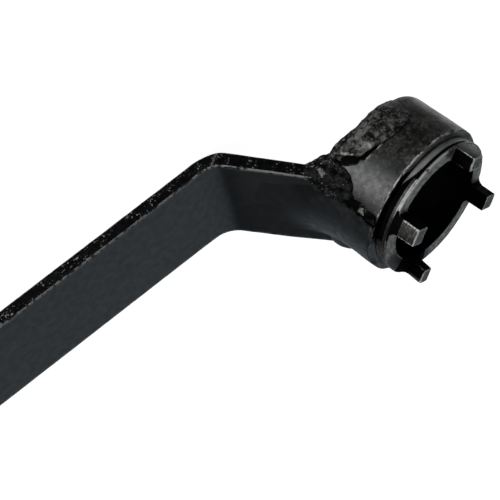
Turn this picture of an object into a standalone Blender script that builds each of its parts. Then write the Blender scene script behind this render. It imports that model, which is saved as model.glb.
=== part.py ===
"""Four-claw fire hydrant wrench: a cranked flat-bar handle welded to a clawed socket.

Metres, +Z up. The wrench lies with the long run of its handle flat on Z = 0 and
its claws pointing up. +X runs from the handle's free end towards the socket.
The socket is designed in its own tool frame (origin at the centre of the collar's
front edge, +Z out through the claws) and the whole tool hangs on one empty that
tips that frame until the handle lies flat.
"""
import math

import bmesh
import bpy
import numpy as np
from mathutils import Matrix, Vector

# ---- driving dimensions -------------------------------------------------------
GAP = 0.0003                    # clearance between pieces that touch

COLLAR_R = 0.0295               # outer tube of the socket
COLLAR_BORE_R = 0.0250
COLLAR_LENGTH = 0.0261
COLLAR_REAR_ROUND = 0.0036
COLLAR_FRONT_BREAK = 0.0004

BORE_R = 0.0215                 # clear bore of the claw ring
INSERT_R = 0.0247               # the part of the claw ring inside the collar
NECK_R = 0.0270
GROOVE_R = 0.0262
NOSE_R = 0.0273
GROOVE_Z = (0.0036, 0.0041)
NOSE_Z = 0.0053                 # flat face between the claws
CLAW_TOP_Z = 0.0155            # turned blank, before the claws are trimmed
CLAW_ROOT_R = 0.0026            # fillet left by the round-nosed cutter
CLAW_FIRST_ANGLE = 52.4         # degrees from +X, then every 90
# each hand-milled claw: flanks either side of its centre line, and its end height
CLAWS = ((-0.00295, 0.00295, 0.0139), (-0.00450, 0.00265, 0.0155),
         (-0.00310, 0.00175, 0.0128), (-0.00255, 0.00390, 0.0136))

BAR_WIDTH = 0.0454
BAR_THICK = 0.0054
BAR_EDGE = 0.0005               # broken edge of the flat bar
BEND_INNER_R = 0.0115
LONG_SLOPE = math.radians(8.83)     # handle against the socket's front plane
CRANK_SLOPE = math.radians(60.25)   # cranked run against the same plane
BEND_X, BEND_Z = -0.04508, -0.06037     # corner of the bar's front face
OVERALL_LENGTH = 0.380
END_ROUND_R = 0.0180
HANG_HOLE_R = 0.0060
HANG_HOLE_INSET = 0.0200

SEAM_ANGLES = (137.5, 149.0)    # seam weld, degrees round the collar
SEAM_DEPTH = 0.0012
SEAM_LENGTH = 0.0118
RIM_WELD_ANGLES = (60.0, 121.0)
FILLET_ANGLES = (150.0, 217.0)
FILLET_TOP_Z = -0.0165
FILLET_REACH = 0.0088

ROUND_STEPS = 72

# ---- scene helpers ------------------------------------------------------------
for old in list(bpy.data.objects):
    bpy.data.objects.remove(old, do_unlink=True)

scene = bpy.context.scene

tool = bpy.data.objects.new("tool_frame", None)
scene.collection.objects.link(tool)
tool.rotation_euler = (0.0, LONG_SLOPE, 0.0)


def steel(name, colour, rough, metallic):
    mat = bpy.data.materials.new(name)
    mat.use_nodes = True
    shader = mat.node_tree.nodes["Principled BSDF"]
    shader.inputs["Base Color"].default_value = (*colour, 1.0)
    shader.inputs["Roughness"].default_value = rough
    shader.inputs["Metallic"].default_value = metallic
    return mat


BAR_PAINT = steel("bar_black_paint", (0.020, 0.022, 0.024), 0.38, 0.0)
COLLAR_PAINT = steel("collar_black_paint", (0.034, 0.035, 0.034), 0.42, 0.0)
CLAW_STEEL = steel("claw_blackened_steel", (0.045, 0.045, 0.044), 0.40, 0.6)
ROUGH_WELD = steel("rough_weld", (0.040, 0.038, 0.034), 0.62, 0.3)
SMOOTH_WELD = steel("painted_weld", (0.022, 0.025, 0.026), 0.42, 0.0)


def finish(bm, name, mat, sharp=35.0):
    bmesh.ops.recalc_face_normals(bm, faces=bm.faces)
    mesh = bpy.data.meshes.new(name)
    bm.to_mesh(mesh)
    bm.free()
    obj = bpy.data.objects.new(name, mesh)
    scene.collection.objects.link(obj)
    obj.parent = tool
    if mat is not None:
        mesh.materials.append(mat)
    mesh.shade_smooth()
    mesh.set_sharp_from_angle(angle=math.radians(sharp))
    return obj


def turned(name, profile, mat, steps=ROUND_STEPS):
    """Spin a closed (radius, z) profile about the socket's axis."""
    bm = bmesh.new()
    ring = [bm.verts.new((r, 0.0, z)) for r, z in profile]
    edges = [bm.edges.new((ring[i], ring[(i + 1) % len(ring)])) for i in range(len(ring))]
    bmesh.ops.spin(bm, geom=ring + edges, cent=(0, 0, 0), axis=(0, 0, 1),
                   angle=math.tau, steps=steps, use_merge=True)
    bmesh.ops.remove_doubles(bm, verts=bm.verts, dist=1e-6)
    return finish(bm, name, mat)


def lofted(name, sections, mat, sharp=35.0):
    """Skin a list of closed sections that all have the same number of points."""
    bm = bmesh.new()
    rows = [[bm.verts.new(p) for p in section] for section in sections]
    count = len(rows[0])
    for near, far in zip(rows[:-1], rows[1:]):
        for i in range(count):
            j = (i + 1) % count
            bm.faces.new((near[i], near[j], far[j], far[i]))
    bm.faces.new(rows[0])
    bm.faces.new(rows[-1])
    bmesh.ops.triangulate(bm, faces=[f for f in bm.faces if len(f.verts) > 4])
    return finish(bm, name, mat, sharp)


def as_cutter(obj):
    obj.hide_render = True
    obj.display_type = "WIRE"
    return obj


def cut(obj, cutter, label):
    mod = obj.modifiers.new(label, "BOOLEAN")
    mod.operation = "DIFFERENCE"
    mod.solver = "EXACT"
    mod.object = cutter


def arc(cx, cy, radius, start, end, steps):
    """Points on an arc from start to end degrees, both included."""
    out = []
    for i in range(steps + 1):
        a = math.radians(start + (end - start) * i / steps)
        out.append((cx + radius * math.cos(a), cy + radius * math.sin(a)))
    return out


def polar(radius, degrees, z):
    a = math.radians(degrees)
    return (radius * math.cos(a), radius * math.sin(a), z)


def cylinder_cutter(name, radius, z_low, z_high, steps=ROUND_STEPS):
    bm = bmesh.new()
    bmesh.ops.create_cone(bm, cap_ends=True, segments=steps, radius1=radius, radius2=radius,
                          depth=z_high - z_low,
                          matrix=Matrix.Translation((0, 0, (z_low + z_high) / 2)))
    return as_cutter(finish(bm, name, None))


# ---- the bar's path in the tool frame's XZ plane -------------------------------
def bar_stations(thick):
    """Front-face points with the normal pointing to the front, from end to socket."""
    d1 = np.array([math.cos(LONG_SLOPE), math.sin(LONG_SLOPE)])
    d2 = np.array([math.cos(CRANK_SLOPE), math.sin(CRANK_SLOPE)])
    corner = np.array([BEND_X, BEND_Z])
    tangent = BEND_INNER_R * math.tan((CRANK_SLOPE - LONG_SLOPE) / 2)
    centre = corner - d1 * tangent + BEND_INNER_R * np.array([-d1[1], d1[0]])
    # length of the long run, so that the whole tool comes to OVERALL_LENGTH
    corner_along = float(corner @ d1)
    long_run = OVERALL_LENGTH - (COLLAR_R * d1[0] - corner_along)
    stations = []
    for i in range(9):
        a = math.radians(90.0 * i / 8)
        inset = END_ROUND_R * (1 - math.sin(a))
        back = END_ROUND_R * (1 - math.cos(a))
        p = corner - d1 * (long_run - back)
        stations.append((p, d1, BAR_WIDTH / 2 - inset))
    stations.append((corner - d1 * 0.160, d1, BAR_WIDTH / 2))
    stations.append((corner - d1 * 0.060, d1, BAR_WIDTH / 2))
    bends = 9
    for i in range(bends + 1):
        a = LONG_SLOPE + (CRANK_SLOPE - LONG_SLOPE) * i / bends
        d = np.array([math.cos(a), math.sin(a)])
        p = centre + BEND_INNER_R * np.array([d[1], -d[0]])
        stations.append((p, d, BAR_WIDTH / 2))
    stations.append((corner + d2 * 0.030, d2, BAR_WIDTH / 2))
    stations.append((corner + d2 * 0.068, d2, BAR_WIDTH / 2))
    return stations


def bar_sections(grow, edge):
    out = []
    for p, d, half in bar_stations(BAR_THICK):
        n = np.array([-d[1], d[0]])
        front = p + n * grow
        rear = p - n * (BAR_THICK + grow)
        w = half + grow
        e = edge
        front_in = front - n * e
        rear_in = rear + n * e
        ring = [(front, w - e), (front_in, w), (rear_in, w), (rear, w - e),
                (rear, -w + e), (rear_in, -w), (front_in, -w), (front, -w + e)]
        out.append([(q[0], y, q[1]) for q, y in ring])
    return out


def front_face_z(x):
    """Height of the cranked run's front face above a point at x."""
    return BEND_Z + math.tan(CRANK_SLOPE) * (x - BEND_X)


# ---- cutters that keep a clearance round the bar and the collar -----------------
collar_room = cylinder_cutter("collar_room", COLLAR_R + GAP, -COLLAR_LENGTH - GAP, 0.06)
bore_room = cylinder_cutter("bore_room", BORE_R + 0.0006, -0.10, 0.10)
bar_room = as_cutter(lofted("bar_room", bar_sections(GAP, 0.0004), None))
bm = bmesh.new()
bmesh.ops.create_cube(bm, size=1.0)
bmesh.ops.scale(bm, vec=(0.040, 0.0456, 0.040), verts=bm.verts)
bmesh.ops.translate(bm, vec=(-0.0040, 0.0, -COLLAR_LENGTH - 0.0194), verts=bm.verts)
back_room = as_cutter(finish(bm, "back_room", None))
hang_cut = cylinder_cutter("hang_cut", HANG_HOLE_R, -0.02, 0.02, 40)

# ---- handle ---------------------------------------------------------------------
handle_bar = lofted("handle_bar", bar_sections(0.0, BAR_EDGE), BAR_PAINT, 30.0)
d_long = Vector((math.cos(LONG_SLOPE), 0.0, math.sin(LONG_SLOPE)))
n_long = Vector((-math.sin(LONG_SLOPE), 0.0, math.cos(LONG_SLOPE)))
end_point = Vector((bar_stations(BAR_THICK)[0][0][0], 0.0, bar_stations(BAR_THICK)[0][0][1]))
hang_cut.location = end_point + d_long * HANG_HOLE_INSET - n_long * BAR_THICK / 2
hang_cut.rotation_euler = (0.0, -LONG_SLOPE, 0.0)
cut(handle_bar, hang_cut, "hanging_hole")
cut(handle_bar, collar_room, "cope_round_collar")
cut(handle_bar, bore_room, "cope_round_bore")

# ---- collar: the outer tube, rounded at the back --------------------------------
r, q = COLLAR_R, COLLAR_REAR_ROUND
collar_profile = [(COLLAR_BORE_R, 0.0), (COLLAR_BORE_R, -COLLAR_LENGTH)]
collar_profile += arc(r - q, -COLLAR_LENGTH + q, q, -90, 0, 5)
collar_profile += [(r, -COLLAR_FRONT_BREAK), (r - COLLAR_FRONT_BREAK, 0.0)]
socket_collar = turned("socket_collar", collar_profile, COLLAR_PAINT)


def seam_block(grow):
    """Curved block in the collar's wall that the seam weld fills."""
    low = COLLAR_R - SEAM_DEPTH - grow
    high = COLLAR_R + 0.0002 if grow == 0.0 else COLLAR_R + 0.002
    spread = math.degrees(grow / COLLAR_R)
    start, end = SEAM_ANGLES[0] - spread, SEAM_ANGLES[1] + spread
    z_back = -SEAM_LENGTH - grow
    z_front = -0.0002 if grow == 0.0 else 0.002
    sections = []
    for i in range(7):
        a = start + (end - start) * i / 6
        crown = 0.0002 * math.sin(math.pi * i / 6) if grow == 0.0 else 0.0
        sections.append([polar(low, a, z_back), polar(high + crown, a, z_back),
                         polar(high + crown, a, z_front), polar(low, a, z_front)])
    return sections


seam_room = as_cutter(lofted("seam_room", seam_block(GAP), None))
cut(socket_collar, seam_room, "seam_groove")
collar_seam_weld = lofted("collar_seam_weld", seam_block(0.0), ROUGH_WELD)

# ---- claw ring: shoulder, groove, nose and four milled claws ---------------------
claw_profile = [
    (BORE_R, CLAW_TOP_Z - 0.0003), (BORE_R, -COLLAR_LENGTH + 0.0012),
    (BORE_R + 0.0006, -COLLAR_LENGTH + 0.0006), (INSERT_R, -COLLAR_LENGTH + 0.0006),
    (INSERT_R, GAP), (NECK_R - 0.0002, GAP), (NECK_R, GAP + 0.0002),
    (NECK_R, GROOVE_Z[0]), (GROOVE_R, GROOVE_Z[0] + 0.0001), (GROOVE_R, GROOVE_Z[1] - 0.0001),
    (NOSE_R, GROOVE_Z[1]), (NOSE_R, CLAW_TOP_Z - 0.0004),
    (NOSE_R - 0.0004, CLAW_TOP_Z), (BORE_R + 0.0003, CLAW_TOP_Z)]
claw_ring = turned("claw_ring", claw_profile, CLAW_STEEL)
for k, (flank_low, flank_high, end_z) in enumerate(CLAWS):
    next_low = -CLAWS[(k + 1) % len(CLAWS)][0]
    far = 0.045
    bm = bmesh.new()
    bmesh.ops.create_cube(bm, size=1.0)
    bmesh.ops.scale(bm, vec=(far - next_low, far - flank_high, 0.030), verts=bm.verts)
    bmesh.ops.translate(bm, vec=((far + next_low) / 2, (far + flank_high) / 2, NOSE_Z + 0.015),
                        verts=bm.verts)
    floor_edges = []
    for e in bm.edges:
        a, b = e.verts[0].co, e.verts[1].co
        if max(a.z, b.z) < NOSE_Z + 1e-5:
            on_flank_x = max(a.x, b.x) < next_low + 1e-5
            on_flank_y = max(a.y, b.y) < flank_high + 1e-5
            if on_flank_x or on_flank_y:
                floor_edges.append(e)
    bmesh.ops.bevel(bm, geom=floor_edges, offset=CLAW_ROOT_R, segments=6, profile=0.5,
                    affect="EDGES")
    gap_cutter = as_cutter(finish(bm, "claw_gap_%d" % (k + 1), None))
    gap_cutter.rotation_euler = (0.0, 0.0, math.radians(CLAW_FIRST_ANGLE + 90.0 * k))
    cut(claw_ring, gap_cutter, "mill_gap_%d" % (k + 1))
    if end_z < CLAW_TOP_Z - 1e-6:
        bm = bmesh.new()
        bmesh.ops.create_cube(bm, size=1.0)
        bmesh.ops.scale(bm, vec=(0.030, 0.020, 0.010), verts=bm.verts)
        bmesh.ops.translate(bm, vec=(0.025, 0.0, end_z + 0.005), verts=bm.verts)
        end_cutter = as_cutter(finish(bm, "claw_end_%d" % (k + 1), None))
        end_cutter.rotation_euler = (0.0, 0.0, math.radians(CLAW_FIRST_ANGLE + 90.0 * k))
        cut(claw_ring, end_cutter, "trim_end_%d" % (k + 1))

# ---- rear rim weld: a fat bead lapped over the rim -------------------------------
RIM_EDGE = ((60.0, -0.0142), (70.0, -0.0136), (82.0, -0.0127), (88.0, -0.0129),
            (95.0, -0.0138), (102.0, -0.0154), (109.0, -0.0166), (115.0, -0.0178),
            (121.0, -0.0205))


def rim_edge_z(degrees):
    angles = [a for a, _ in RIM_EDGE]
    return float(np.interp(degrees, angles, [z for _, z in RIM_EDGE]))


sections = []
rim_steps = 24
for i in range(rim_steps + 1):
    a = RIM_WELD_ANGLES[0] + (RIM_WELD_ANGLES[1] - RIM_WELD_ANGLES[0]) * i / rim_steps
    fade = min(1.0, 0.25 + i / 5.0)
    lump = fade * (0.0007 + 0.00018 * math.sin(1.7 * i) + 0.00012 * math.sin(0.8 * i + 1.0))
    edge = rim_edge_z(a) + 0.0003 * math.sin(2.3 * i)
    edge -= (1.0 - fade) * 0.0040
    heel = 0.0017 * max(0.0, min(1.0, (a - 98.0) / 17.0))
    base = COLLAR_R + GAP
    back = -COLLAR_LENGTH - GAP
    c = COLLAR_REAR_ROUND
    profile = [(base, edge)]
    profile += [(x, z) for x, z in arc(base - c, back + c, c, 0, -90, 4)]
    profile += [(base - 0.0043, back)]
    profile += [(base - 0.0043, back - 0.35 * lump - 0.0001 - 0.6 * heel),
                (base - 0.0030 + 0.3 * heel, back - 0.5 * lump - heel),
                (base - 0.0014 + 0.7 * heel, back + 0.0006 - 0.5 * lump - heel),
                (base + 0.6 * lump + 0.3 * heel, back + 0.0024 - 0.4 * heel),
                (base + lump, back + 0.0050),
                (base + 0.9 * lump, (edge + back) / 2), (base + 1.15 * lump, edge - 0.0020),
                (base + 0.8 * lump, edge - 0.0004)]
    sections.append([polar(x, a, z) for x, z in profile])
rear_rim_weld = lofted("rear_rim_weld", sections, ROUGH_WELD)

# ---- face fillet weld: the wide smooth fillet in front of the bar ----------------
sections = []
fillet_steps = 16
for i in range(fillet_steps + 1):
    a = FILLET_ANGLES[0] + (FILLET_ANGLES[1] - FILLET_ANGLES[0]) * i / fillet_steps
    ca, sa = math.cos(math.radians(a)), abs(math.sin(math.radians(a)))
    lift = GAP / math.cos(CRANK_SLOPE)
    base = COLLAR_R + GAP
    reach = base + FILLET_REACH
    if sa > 1e-6:
        reach = min(reach, (BAR_WIDTH / 2 - 0.0010) / sa)
    root = front_face_z(base * ca) + lift
    toe = front_face_z(reach * ca) + lift
    top = FILLET_TOP_Z
    profile = [(base, top), (base, root), (reach, toe), (reach - 0.0001, toe + 0.0007)]
    for t in (0.25, 0.5, 0.75):
        # a concave curve from the bar's face up to the collar's wall
        s = 1.0 - t
        bx, bz = base + 0.0006, root + 0.22 * (top - root)
        x = s * s * reach + 2 * s * t * bx + t * t * (base + 0.0004)
        z = s * s * (toe + 0.0007) + 2 * s * t * bz + t * t * (top - 0.0002)
        profile.append((x, z))
    profile.append((base + 0.0004, top - 0.0002))
    sections.append([polar(x, a, z) for x, z in profile])
face_fillet_weld = lofted("face_fillet_weld", sections, SMOOTH_WELD, 50.0)


# ---- corner welds: lumpy beads at the bar's two edges -----------------------------
def bead(name, centre, axis, radial, sizes, lumps, mat):
    """A lumpy ellipsoid whose long axis and outward direction are given."""
    bm = bmesh.new()
    bmesh.ops.create_icosphere(bm, subdivisions=3, radius=1.0)
    w = Vector(axis).normalized()
    u = Vector(radial)
    u = (u - w * u.dot(w)).normalized()
    v = w.cross(u)
    basis = Matrix((u, v, w)).transposed()
    for vert in bm.verts:
        p = vert.co
        wave = 1.0 + lumps * (math.sin(5.1 * p.x + 2.3 * p.z) * math.sin(4.3 * p.y + 1.1)
                              + 0.6 * math.sin(7.7 * p.z + 3.0 * p.x))
        q = Vector((p.x * sizes[0], p.y * sizes[1], p.z * sizes[2])) * wave
        vert.co = basis @ q + Vector(centre)
    return finish(bm, name, mat, 60.0)


def side_plane(name, degrees, side):
    """A big thin-edged block on one side of the half-plane at this azimuth."""
    bm = bmesh.new()
    bmesh.ops.create_cube(bm, size=1.0)
    bmesh.ops.scale(bm, vec=(0.12, 0.06, 0.16), verts=bm.verts)
    bmesh.ops.translate(bm, vec=(0.055, 0.03 * side, 0.0), verts=bm.verts)
    obj = as_cutter(finish(bm, name, None))
    obj.rotation_euler = (0.0, 0.0, math.radians(degrees))
    return obj


top_limit = side_plane("top_weld_limit", FILLET_ANGLES[0] - 0.7, 1)
rim_limit = side_plane("rim_weld_limit", RIM_WELD_ANGLES[1] + 0.7, -1)
bottom_limit = side_plane("bottom_weld_limit", FILLET_ANGLES[1] + 0.7, -1)

top_corner_weld = bead("top_corner_weld", (-0.0222, 0.0196, -0.0226), (0.30, -0.14, 0.74),
                       (-0.6, 0.8, 0.0), (0.0052, 0.0078, 0.0112), 0.035, ROUGH_WELD)
for cutter, label in ((collar_room, "collar"), (bar_room, "bar"), (back_room, "back"),
                      (top_limit, "fillet_side"), (rim_limit, "rim_side")):
    cut(top_corner_weld, cutter, "clear_of_" + label)

bottom_corner_weld = bead("bottom_corner_weld", (-0.0204, -0.0196, -0.0205), (0.30, 0.10, 0.74),
                          (-0.6, -0.8, 0.0), (0.0046, 0.0050, 0.0070), 0.03, SMOOTH_WELD)
for cutter, label in ((collar_room, "collar"), (bar_room, "bar"), (back_room, "back"),
                      (bottom_limit, "fillet_side")):
    cut(bottom_corner_weld, cutter, "clear_of_" + label)

# ---- back welds: short beads in the corner behind the rim -------------------------
corner_z = -COLLAR_LENGTH - GAP
rear_x = BEND_X + (corner_z - BEND_Z) / math.tan(CRANK_SLOPE) + BAR_THICK / math.sin(CRANK_SLOPE)
for name, side, run, flare in (("back_weld_top", 1, 0.0067, 0.0026),
                               ("back_weld_bottom", -1, 0.0056, 0.0)):
    sections = []
    steps = 8
    for i in range(steps + 1):
        y = side * (0.0158 + run * i / steps)
        swell = 0.0036 + 0.0007 * math.sin(math.pi * i / steps) + 0.0002 * math.sin(2.9 * i)
        swell += flare * (i / steps) ** 2
        x0 = rear_x + GAP / math.sin(CRANK_SLOPE)
        down = Vector((-math.cos(CRANK_SLOPE), 0.0, -math.sin(CRANK_SLOPE)))
        a = Vector((x0, y, corner_z))
        b = a + down * swell
        c = Vector((x0 + swell, y, corner_z))
        bulge = (b + c) / 2 + Vector((0.0004, 0.0, -0.0003))
        sections.append([tuple(a), tuple(b), tuple(b.lerp(bulge, 0.6)), tuple(bulge),
                         tuple(c.lerp(bulge, 0.6)), tuple(c)])
    back_weld = lofted(name, sections, ROUGH_WELD)
    if side == 1:
        cut(back_weld, rim_limit, "clear_of_rim_side")

# ---- put the row frame's origin under the middle of the tool -----------------------
bpy.context.view_layer.update()
graph = bpy.context.evaluated_depsgraph_get()
low = Vector((1e9, 1e9, 1e9))
high = -low
for obj in scene.objects:
    if obj.type != "MESH" or obj.hide_render:
        continue
    shown = obj.evaluated_get(graph)
    for vert in shown.data.vertices:
        p = shown.matrix_world @ vert.co
        low = Vector(map(min, low, p))
        high = Vector(map(max, high, p))
tool.location = (-(low.x + high.x) / 2, -(low.y + high.y) / 2, -low.z)
bpy.context.view_layer.update()
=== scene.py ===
"""Looks for the four-claw hydrant wrench: black painted bar, rough welds, machined claws.

Every dimension repeats the CAD's, in metres. The socket's pieces are made in the tool
frame (origin at the centre of the collar's front edge, +Z out through the claws) and are
placed by the one matrix TOOL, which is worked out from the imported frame. Angles there are
degrees round the socket's axis: 90 is its upper side and 180 the side the handle is on.
"""

import math
from itertools import product

import bmesh
import bpy
import numpy as np
from mathutils import Matrix, Vector


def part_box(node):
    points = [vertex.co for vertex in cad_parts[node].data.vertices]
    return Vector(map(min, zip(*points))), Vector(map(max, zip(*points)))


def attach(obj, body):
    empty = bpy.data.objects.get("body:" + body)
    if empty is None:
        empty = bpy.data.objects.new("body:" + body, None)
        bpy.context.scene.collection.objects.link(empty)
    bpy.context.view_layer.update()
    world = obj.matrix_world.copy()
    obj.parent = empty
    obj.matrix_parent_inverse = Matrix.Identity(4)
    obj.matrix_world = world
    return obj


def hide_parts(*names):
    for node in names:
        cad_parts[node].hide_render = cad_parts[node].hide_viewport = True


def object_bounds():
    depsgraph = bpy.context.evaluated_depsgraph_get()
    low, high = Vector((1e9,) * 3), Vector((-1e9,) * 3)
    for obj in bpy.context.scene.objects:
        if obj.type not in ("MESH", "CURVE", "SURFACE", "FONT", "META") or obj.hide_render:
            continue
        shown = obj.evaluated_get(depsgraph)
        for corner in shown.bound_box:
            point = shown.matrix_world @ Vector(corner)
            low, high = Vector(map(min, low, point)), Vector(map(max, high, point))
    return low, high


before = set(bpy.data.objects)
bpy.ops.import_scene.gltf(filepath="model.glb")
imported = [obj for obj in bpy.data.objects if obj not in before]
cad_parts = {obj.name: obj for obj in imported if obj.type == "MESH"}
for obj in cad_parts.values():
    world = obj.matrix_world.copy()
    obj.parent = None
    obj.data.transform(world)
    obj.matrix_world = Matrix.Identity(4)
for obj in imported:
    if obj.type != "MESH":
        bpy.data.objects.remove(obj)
cad_low, cad_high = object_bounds()

# ---- dimensions shared with the CAD ----------------------
COLLAR_R, COLLAR_BORE_R, REAR_Z, COLLAR_REAR_ROUND = 0.0295, 0.025, -0.0261, 0.0036
BORE_R, INSERT_R, NECK_R, GROOVE_R, NOSE_R = 0.0215, 0.0247, 0.027, 0.0262, 0.0273
GROOVE_Z, NOSE_Z, CLAW_TOP_Z = (0.0036, 0.0041), 0.0053, 0.0155
CLAW_FIRST_ANGLE = 52.4
# each claw's two flanks, measured from its centre line, and the height of its tip
CLAWS = ((-0.00295, 0.00295, 0.0139), (-0.0045, 0.00265, 0.0155),
         (-0.0031, 0.00175, 0.0128), (-0.00255, 0.0039, 0.0136))
BAR_WIDTH, BAR_THICK, BEND_INNER_R = 0.0454, 0.0054, 0.0115
LONG_SLOPE, CRANK_SLOPE = math.radians(8.83), math.radians(60.25)
BEND_X, BEND_Z = -0.04508, -0.06037
OVERALL_LENGTH, END_ROUND_R = 0.38, 0.018
HANG_HOLE_R, HANG_HOLE_INSET = 0.006, 0.02

collar_low, collar_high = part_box("socket_collar")
TOOL = Matrix.Translation((
    cad_low.x + OVERALL_LENGTH - COLLAR_R * math.cos(LONG_SLOPE),
    (collar_low[1] + collar_high[1]) / 2,
    BAR_THICK + math.sin(LONG_SLOPE) * BEND_X - math.cos(LONG_SLOPE) * BEND_Z,
)) @ Matrix.Rotation(LONG_SLOPE, 4, "Y")


# ---- mesh helpers ----------------------------------------
def noise(points, size, seed=0):
    """Smooth value noise from -1 to 1 whose lumps are about this size."""
    q = np.asarray(points) / size + 1000.0 + 31.7 * seed
    cell = np.floor(q).astype(np.uint64)
    f = q - cell
    f = f * f * (3 - 2 * f)
    total = np.zeros(len(q))
    # an integer hash of each corner of the cell gives the value there
    u = np.uint64
    for corner in product((0, 1), repeat=3):
        c = cell + np.array(corner, dtype=u)
        h = c[:, 0] * u(0x9E3779B1) ^ c[:, 1] * u(0x85EBCA77)
        h = (h ^ c[:, 2] * u(0xC2B2AE3D)) & u(0xFFFFFFFF)
        h = (h ^ (h >> u(15))) * u(0x2C1B3C6D) & u(0xFFFFFFFF)
        h = (h ^ (h >> u(12))) * u(0x297A2D39) & u(0xFFFFFFFF)
        h ^= h >> u(15)
        value = (h & u(0xFFFF)).astype(float) / 32767.5 - 1.0
        total += value * np.prod(np.where(corner, f, 1 - f), axis=1)
    return total


def rough(points, size, octaves=3, seed=0):
    """Noise with finer noise on top of it, about -1 to 1."""
    return sum(noise(points, size / 2**k, seed + k) / 2**k for k in range(octaves)) / 1.6


def step(value, low, high):
    """0 below low, 1 above high and smooth between."""
    t = np.clip((value - low) / (high - low), 0.0, 1.0)
    return t * t * (3 - 2 * t)


def window(value, rise_from, rise_to, fall_from, fall_to):
    """0, rising smoothly to 1 and then falling back to 0."""
    return step(value, rise_from, rise_to) * (1 - step(value, fall_from, fall_to))


def bell(value, middle, width, power=2):
    """1 in the middle, fading to 0 over about this width; power 4 has a flatter top."""
    return np.exp(-((value - middle) / width) ** power)


def grid_faces(rows, ring, closed_rows=False):
    faces = []
    for i in range(rows if closed_rows else rows - 1):
        a, b = i * ring, (i + 1) % rows * ring
        for j in range(ring):
            k = (j + 1) % ring
            faces.append((a + j, a + k, b + k, b + j))
    return faces


def build(name, verts, faces):
    mesh = bpy.data.meshes.new(name)
    mesh.from_pydata([tuple(v) for v in verts], [], faces)
    obj = bpy.data.objects.new(name, mesh)
    bpy.context.scene.collection.objects.link(obj)
    return obj


def outward(obj):
    bm = bmesh.new()
    bm.from_mesh(obj.data)
    bmesh.ops.recalc_face_normals(bm, faces=bm.faces)
    bm.to_mesh(obj.data)
    bm.free()


def loft(name, rows):
    """A skin over these rings of points, its two ends capped."""
    rows = np.asarray(rows)
    count, ring = rows.shape[:2]
    faces = grid_faces(count, ring)
    faces += [tuple(range(ring)), tuple((count - 1) * ring + j for j in range(ring))]
    obj = build(name, rows.reshape(-1, 3), faces)
    outward(obj)
    return obj


def from_bmesh(name, bm):
    obj = build(name, [], [])
    bm.to_mesh(obj.data)
    bm.free()
    return obj


def read(items, field, width=1, kind=np.float32):
    """One field of every vertex, edge or face, as an array."""
    out = np.empty(len(items) * width, dtype=kind)
    items.foreach_get(field, out)
    return out.reshape(-1, width) if width > 1 else out


def coords(obj):
    return read(obj.data.vertices, "co", 3).astype(float)


def normals(obj):
    return read(obj.data.vertex_normals, "vector", 3).astype(float)


def set_coords(obj, points):
    obj.data.vertices.foreach_set("co", np.ascontiguousarray(points, dtype=np.float32).ravel())
    obj.data.update()


def push(obj, points, distance):
    """Puts the vertices at these points, each moved this far along its normal."""
    set_coords(obj, points + normals(obj) * distance[:, None])


def links(obj):
    return read(obj.data.edges, "vertices", 2, np.int32)


def averaged(values, pairs):
    """Each vertex's mean over its neighbours."""
    both = np.concatenate((pairs, pairs[:, ::-1]))
    count = np.maximum(np.bincount(both[:, 0], minlength=len(values)), 1)
    flat = values.reshape(len(values), -1)
    sums = [np.bincount(both[:, 0], weights=flat[both[:, 1], k], minlength=len(values))
            for k in range(flat.shape[1])]
    return (np.stack(sums, axis=1) / count[:, None]).reshape(values.shape)


def smoothed(obj, passes, share=0.5):
    """Draws each vertex towards its neighbours' mean by this share, this many times."""
    p, pairs = coords(obj), links(obj)
    for _ in range(passes):
        p = p + share * (averaged(p, pairs) - p)
    set_coords(obj, p)


def paint(obj, **layers):
    """Stores numbers or vectors at the vertices, by name, for the materials to read."""
    known, count = obj.data.attributes, len(obj.data.vertices)
    for name, values in layers.items():
        values = np.asarray(values, np.float32)
        kind, field = ("FLOAT_VECTOR", "vector") if values.ndim == 2 else ("FLOAT", "value")
        layer = known.get(name) or known.new(name, kind, "POINT")
        every = np.broadcast_to(values, (count,) + values.shape[1:])
        layer.data.foreach_set(field, np.ascontiguousarray(every).ravel())


def painted(obj, name):
    return read(obj.data.attributes[name].data, "value")


def unrolled(points):
    """Distance round the collar, radius and height: coordinates that follow turned work."""
    radius = np.hypot(points[:, 0], points[:, 1])
    return np.stack((np.radians(around(points)) * COLLAR_R, radius, points[:, 2]), axis=1)


# a place that stands this far out of its surroundings is worn right through
FULL_WEAR_HEIGHT = 0.00012


def mark_wear(obj, spread=3, gain=1.0):
    """Stores how sharply each place stands out, 0 to 1, for paint that rubs off there."""
    p, pairs = coords(obj), links(obj)
    q = p
    for _ in range(spread):
        q = averaged(q, pairs)
    out = np.einsum("ij,ij->i", p - q, normals(obj))
    paint(obj, wear=np.clip(out / FULL_WEAR_HEIGHT * gain, 0.0, 1.0))


def cut(obj, *cutters):
    """Takes these shapes out of an object and clears them away."""
    for cutter in cutters:
        mod = obj.modifiers.new(cutter.name, "BOOLEAN")
        mod.operation = "DIFFERENCE"
        mod.solver = "MANIFOLD"
        mod.object = cutter
    settle(obj)
    for cutter in cutters:
        bpy.data.objects.remove(cutter, do_unlink=True)


def settle(obj):
    """Applies an object's modifiers."""
    graph = bpy.context.evaluated_depsgraph_get()
    mesh = bpy.data.meshes.new_from_object(obj.evaluated_get(graph))
    obj.modifiers.clear()
    obj.data = mesh


def voxel(obj, size):
    mod = obj.modifiers.new("voxel", "REMESH")
    mod.mode = "VOXEL"
    mod.voxel_size = size
    settle(obj)


def drum(name, radius, z_low, z_high, steps=180):
    bm = bmesh.new()
    middle = Matrix.Translation((0, 0, (z_low + z_high) / 2))
    bmesh.ops.create_cone(bm, cap_ends=True, segments=steps, radius1=radius, radius2=radius,
                          depth=z_high - z_low, matrix=middle)
    return from_bmesh(name, bm)


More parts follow.
